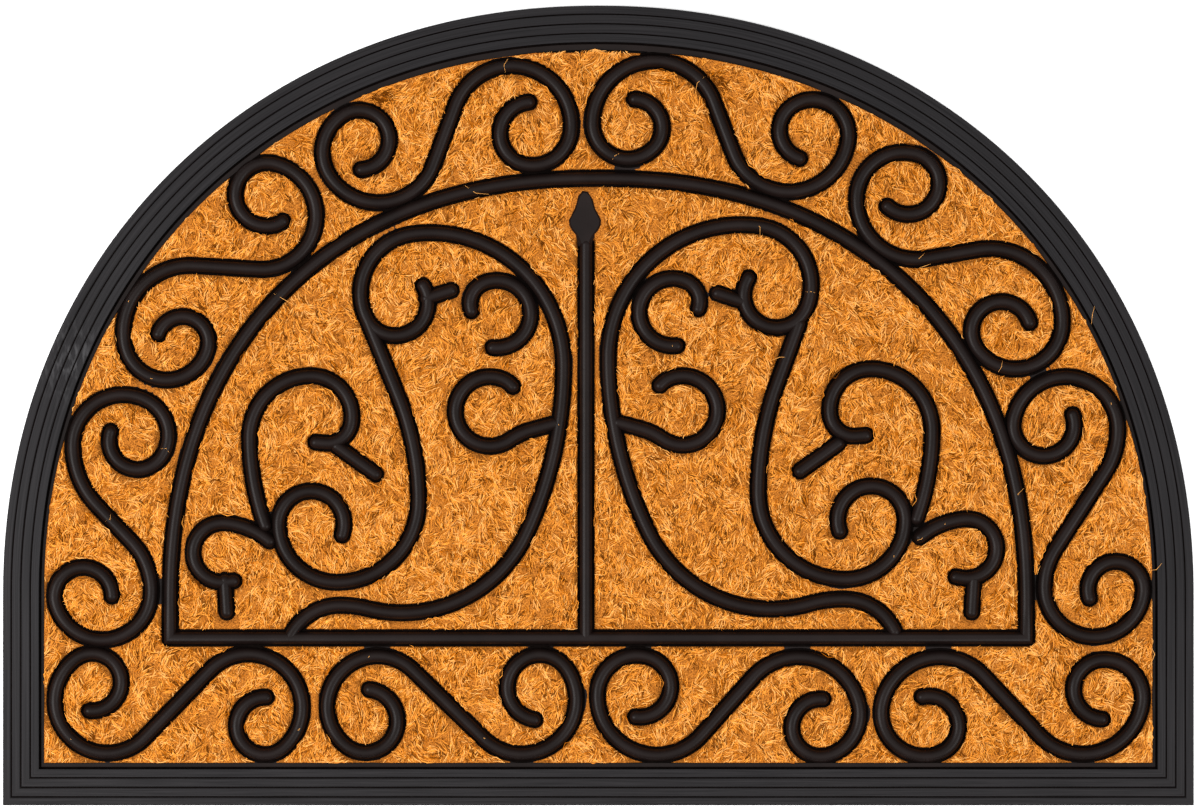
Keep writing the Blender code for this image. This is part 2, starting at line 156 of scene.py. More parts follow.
# Loose pale fibres that lie across the rubber, and how many more lie at random
Stray = namedtuple("Stray", "x y heading length")
STRAYS = (
    Stray(-157.6, 53.1, 150, 13), Stray(51.2, 161.2, 60, 10), Stray(-61.0, 108.4, 340, 13),
    Stray(83.9, 161.2, 20, 8), Stray(151.8, 22.9, 100, 8), Stray(161.3, 74.2, 40, 7),
    Stray(164.3, 70.2, 200, 6), Stray(248.8, 45.5, 80, 9), Stray(212.1, -45.0, 60, 8),
    Stray(280.0, -81.2, 30, 8), Stray(91.4, 23.4, 10, 10), Stray(79.3, 88.8, 120, 8),
)
STRAY_WIDTH = 0.2
STRAY_DROP = 0.6
STRAY_LIFT = 0.72
RANDOM_STRAYS = 18

# Camera
VIEW_WIDTH = 603.6
LENS = 200.0
SENSOR = 36.0
AIM = (0.85, 0.25)

# Lights in metres and watts, and the brightness of the studio's ceiling
Lamp = namedtuple("Lamp", "name place size power")
LAMPS = (
    Lamp("key", (-1.5, -0.35, 1.5), 1.0, 40),
    Lamp("fill", (1.5, -0.85, 1.5), 1.0, 22),
)
CEILING = {"From Min": 0.25, "From Max": 0.95, "To Min": 0.12, "To Max": 1.25}
FLOOR_SIZE = 8
FLOOR_DROP = 0.0002

# A run is a list of rounds with an end on each side
Round = namedtuple("Round", "x y radius")
End = namedtuple("End", "heading arcs")
Run = namedtuple("Run", "name start rounds end")

# A run is a chain of circles joined by straight tangents. A positive radius turns
# left, a negative one right. Each end leaves its circle at a heading in degrees and
# curls on through arcs of (radius, turn); a negative radius there bends the other
# way, and a radius of 0 is a straight piece of that length.
SCROLLS = (
    Run("left lower", End(90, ((24.5, 166), (14.5, 194))),
        (Round(-261, -93.5, 36), Round(-220.5, -20, -44)),
        End(90, ((25.5, 122), (19.5, 93), (14.5, 164)))),
    Run("left upper", End(103, ((21.5, 150), (13, 178))),
        (Round(-205.5, 37, -33.5), Round(-169, 95.5, 27)),
        End(168, ((16, 200), (12, 30)))),
    Run("left top", End(302, ((22, 94), (15, 205))),
        (Round(-110.5, 131.5, 29.5), Round(-43.5, 141, -30)),
        End(-94, ((19.5, 94), (16, 167)))),
    Run("right top", End(90, ((18, 140), (14.5, 128))),
        (Round(28.5, 142, -31.5), Round(96, 137.5, 30)),
        End(83, ((18, 132), (15, 126)))),
    Run("right upper", End(87, ((23.5, 145), (15, 195))),
        (Round(197, 42.5, 36.5), Round(160, 103.5, -30)),
        End(85, ((23.5, 103), (15.5, 205)))),
    Run("right lower", End(90, ((25, 175), (14, 204))),
        (Round(260.5, -91.5, -36), Round(221.5, -12, 40)),
        End(90, ((26.5, 169), (15.5, 211)))),
    Run("bottom first", End(219, ((14.5, 225),)),
        (Round(-247, -148.5, 26.5), Round(-176, -152, -27)),
        End(-138, ((14.5, 224),))),
    Run("bottom second", End(140, ((16, 213),)),
        (Round(-111, -151.5, -25.5), Round(-38.5, -148, 27.5)),
        End(124, ((16.5, 227),))),
    Run("bottom third", End(268, ((20, 107), (15.5, 169))),
        (Round(29.5, -146, 30), Round(101, -157.5, -31)),
        End(-74, ((22, 89), (14.5, 202)))),
    Run("bottom fourth", End(76, ((22, 122), (15, 175))),
        (Round(172, -156.5, -30), Round(244, -145.5, 30)),
        End(83, ((19, 107), (15, 168)))),
)

BRANCHES = (
    Run("left stem", End(90, ((200, 25), (69, 79), (-60, 14), (-28, 65))),
        (Round(-84.5, 20, 67),), End(188, ((30, 104), (16.5, 190)))),
    Run("right stem", End(90, ((200, 26), (69, 80), (-60, 18), (-28, 63))),
        (Round(72, 24, -67),), End(-8, ((30, 104), (16.5, 190)))),
    Run("left loop", End(-90, ((140, 22), (0, 46))),
        (Round(-131.5, -48, -41),), End(180, ((29.5, 90), (16.5, 200)))),
    Run("right loop", End(-90, ((160, 20), (0, 32))),
        (Round(124.5, -43.5, 44),), End(0, ((30, 90), (17, 200)))),
    Run("upper hook", End(25, ((11, 85),)), (Round(-51, 46, -17),), End(173, ())),
    Run("middle hook", End(215, ((-35, 20), (0, 12))), (Round(-54.5, -3, -17.5),),
        End(-20, ((13, 30),))),
    Run("side hook", End(90, ((130, 20),)), (Round(-144.5, -16, -31),),
        End(0, ((20.5, 100), (12, 85), (0, 5)))),
    Run("corner hook", End(175, ((40, 35),)), (Round(-189, -74, 15),), End(10, ((0, 3),))),
    Run("upper spur", None, (Round(-86.5, 54, 0), Round(-74, 58, 0)), None),
    Run("side spur", None, (Round(-131.5, -20.5, 0), Round(-112, -34.5, 0)), None),
    Run("corner spur", None, (Round(-188, -88, 0), Round(-187, -104, 0)), None),
)

# Right-hand copies of left branches, mirrored and then shifted by (x, y)
MIRRORED = {
    "upper hook": (-13.5, 1.0),
    "middle hook": (-12.0, 0.5),
    "side hook": (-7.5, 3.5),
    "corner hook": (-3.5, 2.0),
    "upper spur": (-14.0, -1.5),
    "side spur": (-10.5, 1.5),
    "corner spur": (1.0, 0.0),
}


def superellipse(half_width, rise, power, segments):
    """The arch from its right foot over the top to its left foot."""
    points = []
    for step in range(segments + 1):
        angle = math.pi * step / segments
        across = math.cos(angle)
        x = math.copysign(abs(across) ** (2 / power), across) * half_width
        y = max(0.0, math.sin(angle)) ** (2 / power) * rise
        points.append((x, y))
    return points


def outline(half_width, rise, drop):
    """A half round loop, anticlockwise from the lower right corner."""
    arch = superellipse(half_width, rise, ARCH_POWER, ARCH_SEGMENTS)
    loop = [(half_width, SHOULDER_Y - drop)]
    loop += [(x, y + SHOULDER_Y) for x, y in arch]
    loop.append((-half_width, SHOULDER_Y - drop))
    return loop


def mat_outline(inset):
    """The mat's outer edge moved inwards."""
    rise = DEPTH - SIDE_LENGTH
    return outline(WIDTH / 2 - inset, rise - inset, SIDE_LENGTH - inset)


def arc(centre, radius, first, turn):
    """Points on a circle, by heading; the centre lies to the left of the travel."""
    count = max(2, math.ceil(abs(radius * math.radians(turn)) / ARC_CHORD))
    points = []
    for step in range(count + 1):
        heading = math.radians(first + turn * step / count)
        points.append((centre[0] + radius * math.sin(heading), centre[1] - radius * math.cos(heading)))
    return points


def curl(start, heading, side, arcs):
    """Arcs that carry on from a point; side is 1 for a left turn and -1 for a right one."""
    points = []
    x, y = start
    for radius, amount in arcs:
        ahead = math.radians(heading)
        if radius == 0:
            x += amount * math.cos(ahead)
            y += amount * math.sin(ahead)
            points.append((x, y))
            continue
        bend = math.copysign(side, side * radius)
        signed = bend * abs(radius)
        centre = (x - signed * math.sin(ahead), y + signed * math.cos(ahead))
        points += arc(centre, signed, heading, bend * amount)[1:]
        x, y = points[-1]
        heading += bend * amount
    return points


def centreline(run):
    """The middle of a run as a list of points from its start to its end."""
    headings = []
    for one, two in zip(run.rounds, run.rounds[1:]):
        across = two.x - one.x
        along = two.y - one.y
        lean = math.asin((two.radius - one.radius) / math.hypot(across, along))
        headings.append(math.degrees(math.atan2(along, across) - lean))
    first = run.start.heading if run.start else headings[0]
    last = run.end.heading if run.end else headings[-1]
    headings = [first] + headings + [last]
    points = []
    for index, item in enumerate(run.rounds):
        if item.radius == 0:
            points.append((item.x, item.y))
            continue
        side = math.copysign(1, item.radius)
        turn = (headings[index + 1] - headings[index]) * side % 360
        points += arc((item.x, item.y), item.radius, headings[index], side * turn)
    if run.end:
        side = math.copysign(1, run.rounds[-1].radius)
        points += curl(points[-1], last, side, run.end.arcs)
    if run.start:
        side = math.copysign(1, run.rounds[0].radius)
        points = curl(points[0], first + 180, -side, run.start.arcs)[::-1] + points
    return points


def frame_line():
    """The closed line of the inner frame."""
    arch = superellipse(POST_X, FRAME_RISE, FRAME_POWER, FRAME_SEGMENTS)
    line = [(POST_X, BAR_Y)]
    line += [(x, y + FRAME_SHOULDER_Y) for x, y in arch]
    line.append((-POST_X, BAR_Y))
    return line


def grille_runs():
    """The centre lines of all open runs, with the right-hand copies."""
    lines = [centreline(run) for run in SCROLLS + BRANCHES]
    for run in BRANCHES:
        if run.name in MIRRORED:
            shift_x, shift_y = MIRRORED[run.name]
            lines.append([(shift_x - x, shift_y + y) for x, y in centreline(run)])
    lines.append([(SPEAR_X, BAR_Y), (SPEAR_X, SPEAR_NECK_Y)])
    return lines


def offset(points, distance, closed):
    """Points moved to the left of the line by a distance, with mitred corners."""
    line = np.array(points, float)
    before = line - np.roll(line, 1, axis=0)
    after = np.roll(line, -1, axis=0) - line
    if not closed:
        before[0] = after[0]
        after[-1] = before[-1]
    before /= np.linalg.norm(before, axis=1)[:, None]
    after /= np.linalg.norm(after, axis=1)[:, None]
    normal = np.stack((-before[:, 1] - after[:, 1], before[:, 0] + after[:, 0]), axis=1)
    normal /= np.linalg.norm(normal, axis=1)[:, None]
    square = np.stack((-before[:, 1], before[:, 0]), axis=1)
    reach = np.maximum(SHARPEST_MITRE, (normal * square).sum(axis=1))
    return line + normal * (distance / reach)[:, None]


def nearest(point, line, closed):
    """The nearest point on a line, and its distance."""
    starts = np.array(line)
    ends = np.roll(starts, -1, axis=0)
    if not closed:
        starts = starts[:-1]
        ends = ends[:-1]
    along = ends - starts
    lengths = np.maximum((along ** 2).sum(axis=1), 1e-9)
    share = np.clip(((np.array(point) - starts) * along).sum(axis=1) / lengths, 0, 1)
    feet = starts + along * share[:, None]
    gaps = np.hypot(*(feet - np.array(point)).T)
    best = int(np.argmin(gaps))
    return feet[best], float(gaps[best])


def densify(line, spacing):
    """The same line with extra points no further apart than a spacing."""
    points = [line[0]]
    for start, end in zip(line, line[1:]):
        count = max(1, math.ceil(math.dist(start, end) / spacing))
        for step in range(1, count + 1):
            share = step / count
            points.append(tuple(np.array(start) + (np.array(end) - np.array(start)) * share))
    return points


def webs(line, other, closed, stop):
    """Flat patches where a line passes close by another, one at each nearest place."""
    dense = densify(line, WEB_STEP)
    found = [nearest(point, other, closed) for point in dense]
    gaps = [gap for foot, gap in found]
    placed = []
    patches = []
    for index in sorted(range(len(dense)), key=gaps.__getitem__):
        around = gaps[max(0, index - 1):index + 2]
        if gaps[index] > min(around) or not WEB_NEAREST < gaps[index] < WEB_REACH:
            continue
        point = np.array(dense[index])
        if any(math.dist(point, other_place) < WEB_APART for other_place in placed):
            continue
        placed.append(point)
        foot = found[index][0]
        ahead = (foot - point) / gaps[index]
        side = np.array((-ahead[1], ahead[0])) * WEB_LENGTH / 2
        near = point + ahead * WEB_START
        far = foot - ahead * stop
        patches.append([near - side, far - side, far + side, near + side])
    return patches


def all_webs(runs):
    """The webs of every run to the rim, the frame and the runs after it."""
    frame = frame_line()
    rim = outline(OPENING_HALF_WIDTH + RIM_BACK, OPENING_RISE + RIM_BACK, OPENING_DROP + RIM_BACK)
    patches = []
    for index, run in enumerate(runs):
        patches += webs(run, rim, True, 0.0)
        patches += webs(run, frame, True, WEB_START)
        for other in runs[index + 1:]:
            patches += webs(run, other, False, WEB_START)
    return patches


class Mesh:
    """Collects points and faces, and makes one object of them."""

    def __init__(self):
        self.points = []
        self.faces = []
        self.weave = []
        self.painted_shade_faces = []

    def row(self, plan, height, along, across):
        """Adds points at one height; along and across are their surface coordinates."""
        first = len(self.points)
        self.points += [(x, y, height) for x, y in plan]
        self.weave += [(distance, across) for distance in along]
        return list(range(first, len(self.points)))

    def strip(self, low, high, closed, painted_shade=False):
        count = len(low) if closed else len(low) - 1
        # Faces flagged here carry the near-black painted shade
        if painted_shade:
            self.painted_shade_faces += range(len(self.faces), len(self.faces) + count)
        for index in range(count):
            after = (index + 1) % len(low)
            self.faces.append((low[index], low[after], high[after], high[index]))

    def build(self, name, material, smooth_angle, painted_shade=None):
        """Makes the object; its faces of painted shade get the second, near-black material."""
        mesh = bpy.data.meshes.new(name)
        mesh.from_pydata([tuple(value * MM for value in point) for point in self.points], [], self.faces)
        layer = mesh.uv_layers.new(name="Along")
        corners = np.empty(len(mesh.loops), int)
        mesh.loops.foreach_get("vertex_index", corners)
        layer.uv.foreach_set("vector", (np.array(self.weave)[corners] * MM).astype(np.float32).ravel())
        mesh.materials.append(material)
        if painted_shade:
            mesh.materials.append(painted_shade)
            for index in self.painted_shade_faces:
                mesh.polygons[index].material_index = 1
        mesh.shade_smooth()
        mesh.set_sharp_from_angle(angle=math.radians(smooth_angle))
        item = bpy.data.objects.new(name, mesh)
        bpy.context.scene.collection.objects.link(item)
        return item


def lengths_along(plan):
    """The distance from the first point to each point of a plan line."""
    steps = np.hypot(*np.diff(np.array(plan), axis=0).T)
    return [0.0] + list(np.cumsum(steps))


def half_section(drop):
    """The right half of a run's section, from the land's foot to the crown."""
    land = LAND_HEIGHT - drop
    section = [(LAND_HALF_WIDTH, SECTION_FOOT), (LAND_HALF_WIDTH, land - 0.25)]
    section.append((LAND_HALF_WIDTH - SECTION_SOFTENING, land))
    section.append((BEAD_HALF_WIDTH + SECTION_SOFTENING, land))
    section += [(BEAD_HALF_WIDTH + 0.02, BEAD_FOOT)]
    for step in range(1, BEAD_STEPS + 1):
        angle = math.pi / 2 * step / BEAD_STEPS
        height = BEAD_FOOT + (BEAD_HEIGHT - BEAD_FOOT) * math.sin(angle)
        section.append((BEAD_HALF_WIDTH * math.cos(angle), height))
    return section


def add_run(mesh, line, closed, drop):
    """Sweeps the section along a line, with round ends where it is open."""
    section = half_section(drop)
    along = lengths_along(line)
    rows = []
    for distance, height in section[:-1]:
        rows.append(mesh.row(offset(line, -distance, closed), height, along, distance))
    rows.append(mesh.row(line, section[-1][1], along, 0.0))
    for distance, height in section[-2::-1]:
        rows.append(mesh.row(offset(line, distance, closed), height, along, -distance))
    # The land rows on both sides of the bead get the near-black material: painted shade on the land
    for index, (low, high) in enumerate(zip(rows, rows[1:])):
        mesh.strip(low, high, closed, index < LAND_ROWS or index >= len(rows) - 1 - LAND_ROWS)
    if closed:
        return
    for point, other, start in ((line[-1], line[-2], along[-1]), (line[0], line[1], 0.0)):
        heading = math.atan2(point[1] - other[1], point[0] - other[0])
        angles = [heading + math.pi * (step / CAP_STEPS - 0.5) for step in range(CAP_STEPS + 1)]
        rows = []
        for distance, height in section[:-1]:
            plan = [(point[0] + distance * math.cos(a), point[1] + distance * math.sin(a)) for a in angles]
            rows.append(mesh.row(plan, height, [start] * len(plan), distance))
        # The cap's land rows get the same painted shade
        for index, (low, high) in enumerate(zip(rows, rows[1:])):
            mesh.strip(low, high, False, index < LAND_ROWS)
        crown = mesh.row([point], section[-1][1], [start], 0.0)[0]
        for one, two in zip(rows[-1], rows[-1][1:]):
            mesh.faces.append((one, two, crown))


def add_plate(mesh, loop, bottom, top, bevel):
    """A flat plate with bevelled sides."""
    along = lengths_along(loop)
    foot = mesh.row(loop, bottom, along, 0.0)
    shoulder = mesh.row(loop, max(bottom, top - bevel), along, 0.0)
    crown = mesh.row(offset(loop, bevel, True), top, along, bevel)
    mesh.strip(foot, shoulder, True)
    mesh.strip(shoulder, crown, True)
    mesh.faces.append(crown)


def scrollwork(runs, patches, material, painted_shade):
    mesh = Mesh()
    add_run(mesh, frame_line(), True, 0.0)
    for index, run in enumerate(runs):
        add_run(mesh, run, False, LAND_STAGGER * (1 + index))
    for index, patch in enumerate(patches):
        add_plate(mesh, patch, SECTION_FOOT, WEB_HEIGHT - WEB_STAGGER * index, 0.1)
    head = [(PLATE_X + level.half, level.y) for level in SPEAR_HEAD]
    head += [(PLATE_X - level.half, level.y) for level in reversed(SPEAR_HEAD)]
    add_plate(mesh, offset(head, -PLATE_LAND, True), SECTION_FOOT, WEB_HEIGHT, 0.2)
    add_plate(mesh, head, SECTION_FOOT, PLATE_HEIGHT, PLATE_BEVEL)
    return mesh.build("rubber_scrollwork", material, 40, painted_shade)


def border_section():
    """Inset and height over the ridged border, from the outer edge inwards."""
    breadth = sum(STRIP_WIDTHS) + GROOVE_WIDTH * (len(STRIP_WIDTHS) - 1)
    slope = (BORDER_HEIGHT - EDGE_HEIGHT) / breadth
    section = [(0.0, 0.0)]
    inset = 0.0
    for width in STRIP_WIDTHS:
        for step, drop in ((0.0, EDGE_ROUND), (EDGE_ROUND, 0.0), (width - EDGE_ROUND, 0.0),
                           (width, EDGE_ROUND), (width + GROOVE_TAPER, GROOVE_DEPTH),
                           (width + GROOVE_WIDTH - GROOVE_TAPER, GROOVE_DEPTH)):
            section.append((inset + step, EDGE_HEIGHT + slope * (inset + step) - drop))
        inset += width + GROOVE_WIDTH
    return section[:-2] + [(breadth, MOAT_HEIGHT)]


def border(material, painted_shade):
    """The ridged border, closed below by the mat's flat underside."""
    mesh = Mesh()
    rows = []
    section = border_section()
    for inset, height in section:
        loop = mat_outline(inset)
        rows.append(mesh.row(loop, height, lengths_along(loop), inset))
    # The first wall and the floor of each groove get the near-black material: painted shade
    for index, (low, high) in enumerate(zip(rows, rows[1:])):
        mesh.strip(low, high, True, index >= 5 and (index - 5) % 6 < 2)
    mesh.faces.append(rows[0][::-1])
    return mesh.build("rubber_border", material, 35, painted_shade)


def rim(material, painted_shade):
    """The groove inside the border, its floor and wall painted near-black as shade, then the narrow land
    and the backing sheet.
    """
    mesh = Mesh()
    start = border_section()[-1][0]
    land = start + MOAT_WIDTH
    rows = []
    for inset, height in ((start - 0.1, MOAT_HEIGHT), (land, MOAT_HEIGHT),
                          (land, LAND_HEIGHT - 0.2), (land + 0.2, LAND_HEIGHT)):
        loop = mat_outline(inset)
        rows.append(mesh.row(loop, height, lengths_along(loop), inset))
    opening = outline(OPENING_HALF_WIDTH, OPENING_RISE, OPENING_DROP)
    for height in (LAND_HEIGHT, BACKING_HEIGHT):
        rows.append(mesh.row(opening, height, lengths_along(opening), land + 1.5))
    # The moat's floor and wall get the near-black painted shade
    for index, (low, high) in enumerate(zip(rows, rows[1:])):
        mesh.strip(low, high, True, index < 2)
    mesh.faces.append(rows[-1])
    return mesh.build("rubber_rim", material, 35, painted_shade)


class Plan:
    """Answers how far a place is from the nearest run, and whether it is on a web."""

    def __init__(self, runs, patches):
        points = []
        for line in runs:
            points += densify(line, 0.6)
        frame = frame_line()
        points += densify(frame + frame[:1], 0.6)
        self.tree = KDTree(len(points))
        for index, (x, y) in enumerate(points):
            self.tree.insert((x, y, 0.0), index)
        self.tree.balance()
        self.patches = []
        for near_right, far_right, far_left, near_left in patches:
            across = far_right - near_right
            along = near_left - near_right
            self.patches.append((near_right, across, along, across @ across, along @ along))

    def distance(self, x, y):
        return self.tree.find((x, y, 0.0))[2]

    def on_web(self, x, y):
        """Whether each of the places lies on a web; x and y are arrays."""
        hit = np.zeros(len(x), bool)
        for corner, across, along, wide, long in self.patches:
            step_x = x - corner[0]
            step_y = y - corner[1]
            share = (step_x * across[0] + step_y * across[1]) / wide
            other = (step_x * along[0] + step_y * along[1]) / long
            hit |= (share > 0) & (share < 1) & (other > 0.02) & (other < 0.98)
        levels = [level.y for level in SPEAR_HEAD] + [SPEAR_HEAD[-1].y + PLATE_LAND]
        halves = [level.half + PLATE_FIBRE_GAP for level in SPEAR_HEAD] + [PLATE_FIBRE_GAP]
        return hit | (np.abs(x - PLATE_X) < np.interp(y, levels, halves, left=0, right=0))


def inside_opening(x, y, margin):
    """Whether places lie inside the rim's opening by a margin; x and y are arrays."""
    half = OPENING_HALF_WIDTH - margin
    rise = OPENING_RISE - margin
    up = np.maximum(y - SHOULDER_Y, 0) / rise
    across = np.abs(x) / half
    return (across ** ARCH_POWER + up ** ARCH_POWER < 1) & (y > SHOULDER_Y - OPENING_DROP + margin)


def lump(x, y, scale, seed):
    return noise.noise(Vector((x / scale, y / scale, seed)))


def bed_height(x, y, plan):
    """The height of the coir's bed: full in an island, low at the bars."""
    gap = plan.distance(x, y)
    rise = min(1.0, max(0.0, (gap - BED_START) / BED_SHOULDER))
    bumps = 0.35 * lump(x, y, 6.0, 1.5) + 0.3 * lump(x, y, 2.2, 4.5)
    return COIR_FLOOR + (COIR_HEIGHT - COIR_FLOOR + bumps) * rise


def coir_bed(plan, material):
    """The ground of the coir as one sheet that fills the opening."""
    mesh = Mesh()
    half = OPENING_HALF_WIDTH - 0.3
    columns = int(2 * half / BED_STEP)
    rows = []
    y = SHOULDER_Y - OPENING_DROP + 0.3
    while y < SHOULDER_Y + OPENING_RISE - 0.6:
        up = max(0.0, y - SHOULDER_Y) / (OPENING_RISE - 0.3)
        reach = half * (1 - up ** ARCH_POWER) ** (1 / ARCH_POWER)
        first = len(mesh.points)
        for step in range(columns + 1):
            x = -reach + 2 * reach * step / columns
            mesh.points.append((x, y, bed_height(x, y, plan)))
            mesh.weave.append((x, y))
        rows.append(list(range(first, len(mesh.points))))
        y += BED_STEP
    for one, two in zip(rows, rows[1:]):
        mesh.strip(one, two, False)
    return mesh.build("coir_bed", material, 180)


def tone_of(value):
    """The tone's number for values between 0 and 1, by the tones' shares."""
    limits = np.cumsum([tone.share for tone in TONES])[:-1]
    return np.searchsorted(limits, value)


def ribbons(x, y, z, heading, length, width, bend, lift):
    """Thin bent ribbons: six points and two faces each."""
    cos = np.cos(heading)
    sin = np.sin(heading)
    points = []
    for along, half, rise in ((-0.5, 0.5, -0.25), (0.0, 1.0, 1.0), (0.5, 0.35, -0.1)):
        sag = bend * length * (0.25 - along ** 2) * 4
        middle_x = x + cos * length * along - sin * sag
        middle_y = y + sin * length * along + cos * sag
        for side in (-1, 1):
            edge = side * half * width / 2
            points.append((middle_x - sin * edge, middle_y + cos * edge, z + rise * lift))
    return np.array(points).transpose(2, 0, 1)


def fibre_object(name, places, material):
    count = len(places)
    mesh = bpy.data.meshes.new(name)
    mesh.vertices.add(count * 6)
    mesh.vertices.foreach_set("co", (places * MM).astype(np.float32).ravel())
    corners = np.arange(count)[:, None] * 6 + np.array((0, 2, 3, 1, 2, 4, 5, 3))[None, :]
    mesh.loops.add(count * 8)
    mesh.loops.foreach_set("vertex_index", corners.ravel().astype(np.int32))
    mesh.polygons.add(count * 2)
    mesh.polygons.foreach_set("loop_start", np.arange(0, count * 8, 4, dtype=np.int32))
    mesh.polygons.foreach_set("loop_total", np.full(count * 2, 4, np.int32))
    mesh.update(calc_edges=True)
    mesh.materials.append(material)
    mesh.shade_smooth()
    item = bpy.data.objects.new(name, mesh)
    bpy.context.scene.collection.objects.link(item)
    return item


def tufts(random):
    """Tufts as arrays: place, heading, bend, height and mood, which sets their tone."""
    x = random.uniform(-OPENING_HALF_WIDTH, OPENING_HALF_WIDTH, TUFT_COUNT)
    y = random.uniform(SHOULDER_Y - OPENING_DROP, SHOULDER_Y + OPENING_RISE, TUFT_COUNT)
    keep = inside_opening(x, y, 0.0)
    x = x[keep]
    y = y[keep]
    swirl = np.array([lump(a, b, 8.0, 6.5) for a, b in zip(x, y)])
    rows = np.array([lump(a * 1.6, b * 0.7, 3.6, 2.5) for a, b in zip(x, y)])
    heading = TUFT_HEADING + 1.9 * swirl + random.normal(0, 0.55, len(x))
    bend = random.uniform(-TUFT_BEND, TUFT_BEND, len(x))
    height = random.uniform(-TUFT_LIFT, TUFT_LIFT, len(x)) + 0.6 * rows
    mood = 0.5 * (random.random(len(x)) - 0.5) + 0.2 * rows + 0.08 * height
    return x, y, heading, bend, height, mood


def fits(plan, x, y, limit):
    """Whether places keep a distance from the bars and lie inside the rim."""
    gaps = np.array([plan.distance(a, b) for a, b in zip(x, y)])
    return (gaps > limit) & inside_opening(x, y, RIM_KEEP) & ~plan.on_web(x, y)


def spans(plan, x, y, heading, length, limit):
    """Whether both ends of each fibre fit."""
    reach_x = np.cos(heading) * length / 2
    reach_y = np.sin(heading) * length / 2
    ahead = fits(plan, x + reach_x, y + reach_y, limit)
    return ahead & fits(plan, x - reach_x, y - reach_y, limit)


def coir_pile(plan):
    """The fibres on the coir, one object for each tone."""
    random = np.random.default_rng(SEED)
    columns = [np.repeat(values, TUFT_FIBRES) for values in tufts(random)]
    x, y, heading, bend, height, mood = columns
    count = len(x)
    along = random.normal(0, TUFT_SPREAD[0], count)
    across = random.normal(0, TUFT_SPREAD[1], count)
    x = x + np.cos(heading) * along - np.sin(heading) * across
    y = y + np.sin(heading) * along + np.cos(heading) * across
    heading = heading + random.normal(0, TUFT_FAN, count)
    length = random.uniform(*FIBRE_LENGTHS, count)
    limit = EDGE_KEEP - np.abs(random.normal(0, EDGE_RAGGED, count))
    near = fits(plan, x, y, limit + 0.3)
    whole = spans(plan, x, y, heading, length, limit)
    length = np.where(whole, length, length * SHORT_FIBRE)
    keep = near & spans(plan, x, y, heading, length, limit)
    x, y, heading, bend, height, mood, length = (
        values[keep] for values in (x, y, heading, bend, height, mood, length))
    count = len(x)
    width = random.uniform(*FIBRE_WIDTHS, count)
    bend = bend + random.normal(0, 0.06, count)
    lift = random.uniform(*FIBRE_LIFT, count)
    gap = np.array([plan.distance(a, b) for a, b in zip(x, y)])
    full = np.clip((gap - BED_START + 0.8) / BED_SHOULDER, 0.4, 1)
    layer = height + random.uniform(-0.25, 0.25, count)
    z = COIR_FLOOR + (COIR_HEIGHT + layer - COIR_FLOOR) * full
    value = 0.5 + mood + 1.05 * (random.random(count) - 0.5)
    value += 0.35 * ~inside_opening(x, y, PALE_RIM)
    for stain in STAINS:
        value -= 1.2 * np.exp(-((x - stain.x) ** 2 + (y - stain.y) ** 2) / stain.radius ** 2)
    tone = tone_of(value)
    items = []
    for index, entry in enumerate(TONES):
        chosen = tone == index
        places = ribbons(*(values[chosen] for values in (x, y, z, heading, length, width, bend, lift)))
        # The darkest tone's object also carries the painted gap shade
        if index == 0:
            places = np.concatenate((places, painted_gap_shade(plan, random)))
        items.append(fibre_object("coir_" + entry.name, places, fibre_material(entry)))
    return items


def painted_gap_shade(plan, random):
    """Short dark ribbons laid over the pile: painted shade of the gaps between tufts."""
    x = random.uniform(-OPENING_HALF_WIDTH, OPENING_HALF_WIDTH, GAP_SHADE_COUNT)
    y = random.uniform(SHOULDER_Y - OPENING_DROP, SHOULDER_Y + OPENING_RISE, GAP_SHADE_COUNT)
    keep = fits(plan, x, y, LAND_HALF_WIDTH + 0.6) & inside_opening(x, y, 1.0)
    x = x[keep]
    y = y[keep]
    count = len(x)
    heading = random.normal(TUFT_HEADING, 0.6, count)
    length = random.uniform(0.6, 2.2, count)
    width = random.uniform(0.25, 0.7, count)
    level = np.full(count, COIR_HEIGHT + 0.9)
    return ribbons(x, y, level, heading, length, width, np.zeros(count), np.full(count, 0.1))


def strays(runs, material):
    """Loose pale fibres lying over the bars."""
    random = np.random.default_rng(SEED + 1)
    rows = [(stray.x, stray.y, math.radians(stray.heading), stray.length) for stray in STRAYS]
    places = [point for line in runs for point in densify(line, 3.0)]
    for index in range(RANDOM_STRAYS):
        x, y = places[random.integers(len(places))]
        rows.append((x, y, random.uniform(0, 2 * math.pi), random.uniform(3, 7)))
    x, y, heading, length = np.array(rows).T
    count = len(rows)
    bend = random.uniform(-0.35, 0.35, count)
    level = np.full(count, BEAD_HEIGHT - STRAY_DROP)
    width = np.full(count, STRAY_WIDTH)
    lift = np.full(count, STRAY_LIFT)
    fibres = ribbons(x, y, level, heading, length, width, bend, lift)
    return fibre_object("coir_strays", fibres, material)


def new_material(name):
    material = bpy.data.materials.new(name)
    material.use_nodes = True
    nodes = material.node_tree.nodes
    return material, nodes, material.node_tree.links, nodes["Principled BSDF"]


def noise_node(nodes, links, vector, scale, detail):
    node = nodes.new("ShaderNodeTexNoise")
    node.inputs["Scale"].default_value = scale
    node.inputs["Detail"].default_value = detail
    if vector is not None:
        links.new(vector, node.inputs["Vector"])
    return node.outputs["Fac"]


def ramp_node(nodes, links, value, stops):
    node = nodes.new("ShaderNodeValToRGB")
    links.new(value, node.inputs["Fac"])
    while len(node.color_ramp.elements) < len(stops):
        node.color_ramp.elements.new(0.5)
    for element, (place, colour) in zip(node.color_ramp.elements, stops):
        element.position = place
        element.color = (*colour, 1)
    return node.outputs["Color"]


